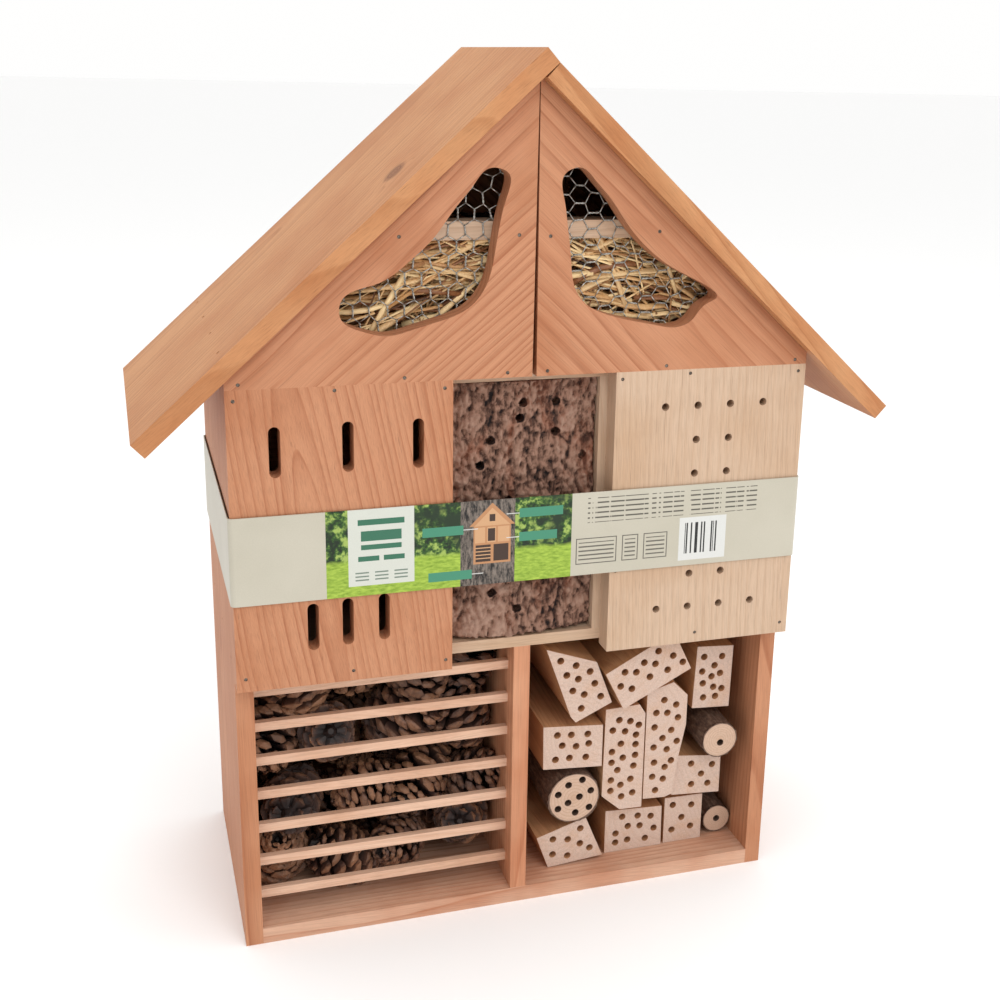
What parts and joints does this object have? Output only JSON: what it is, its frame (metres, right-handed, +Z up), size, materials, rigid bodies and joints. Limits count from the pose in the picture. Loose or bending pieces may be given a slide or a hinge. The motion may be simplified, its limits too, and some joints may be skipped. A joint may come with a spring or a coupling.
{
  "type": "insect hotel",
  "caption": "Wooden house-shaped insect hotel with pitched roof, slotted and drilled panels, bark, drilled blocks, pine cones, straw behind wire mesh and a card sleeve.",
  "frame": {"origin": "bottom centre of the box body, midway between the front and back edges of the side boards", "axes": "+X to the right seen from the front, +Y to the back, +Z up"},
  "size_m": [0.5177, 0.2196, 0.6165],
  "materials": {
    "frame_wood": "sawn softwood",
    "panel_wood": "sawn softwood",
    "pale_wood": "sawn pale softwood",
    "roof_wood": "sawn softwood",
    "slat_wood": "planed softwood",
    "block_wood": "end grain",
    "branch": "bark with sawn ends",
    "bark": "rough pine bark",
    "pine_cone": "dry cones",
    "straw": "loose straw",
    "galvanised_wire": "galvanised",
    "nail_steel": "bright wire nails",
    "card": "printed card"
  },
  "bodies": {
    "house": {"back_gable_left": "frame_wood", "back_gable_right": "frame_wood", "back_plank_1": "frame_wood", "back_plank_2": "frame_wood", "back_plank_3": "frame_wood", "back_plank_4": "frame_wood", "back_plank_5": "frame_wood", "bark_slab": "bark", "bay_divider_left": "frame_wood", "bay_divider_right": "frame_wood", "block_a": "block_wood", "block_b": "block_wood", "block_c": "block_wood", "block_d": "block_wood", "block_e": "block_wood", "block_f": "block_wood", "block_g": "block_wood", "block_h": "block_wood", "block_i": "block_wood", "block_j": "block_wood", "bottom_board": "frame_wood", "butterfly_panel": "panel_wood", "ceiling_board": "frame_wood", "drilled_panel": "pale_wood", "gable_batten": "panel_wood", "gable_left": "panel_wood", "gable_right": "panel_wood", "log_large": "branch", "log_middle": "branch", "log_small": "branch", "lower_divider": "frame_wood", "mesh_staples_left": "galvanised_wire", "mesh_staples_right": "galvanised_wire", "nails_butterfly_panel": "nail_steel", "nails_drilled_panel": "nail_steel", "nails_gable_left": "nail_steel", "nails_gable_right": "nail_steel", "nails_roof_left": "nail_steel", "nails_roof_right": "nail_steel", "nails_side_left": "nail_steel", "nails_side_right": "nail_steel", "pine_cones_front": "pine_cone", "pine_cones_rear": "pine_cone", "roof_left": "roof_wood", "roof_right": "roof_wood", "shelf_board": "frame_wood", "side_board_left": "frame_wood", "side_board_right": "frame_wood", "slat_1": "slat_wood", "slat_2": "slat_wood", "slat_3": "slat_wood", "slat_4": "slat_wood", "slat_5": "slat_wood", "slat_6": "slat_wood", "slat_7": "slat_wood", "straw_fill": "straw", "wire_mesh_left": "galvanised_wire", "wire_mesh_right": "galvanised_wire"},
    "sleeve": {"card_sleeve": "card"}
  },
  "joints": [
    {"name": "sleeve_slide", "type": "slide", "parent": "house", "child": "sleeve", "axis": [0, 0, 1], "range_m": [-0.264, 0.08]}
  ]
}
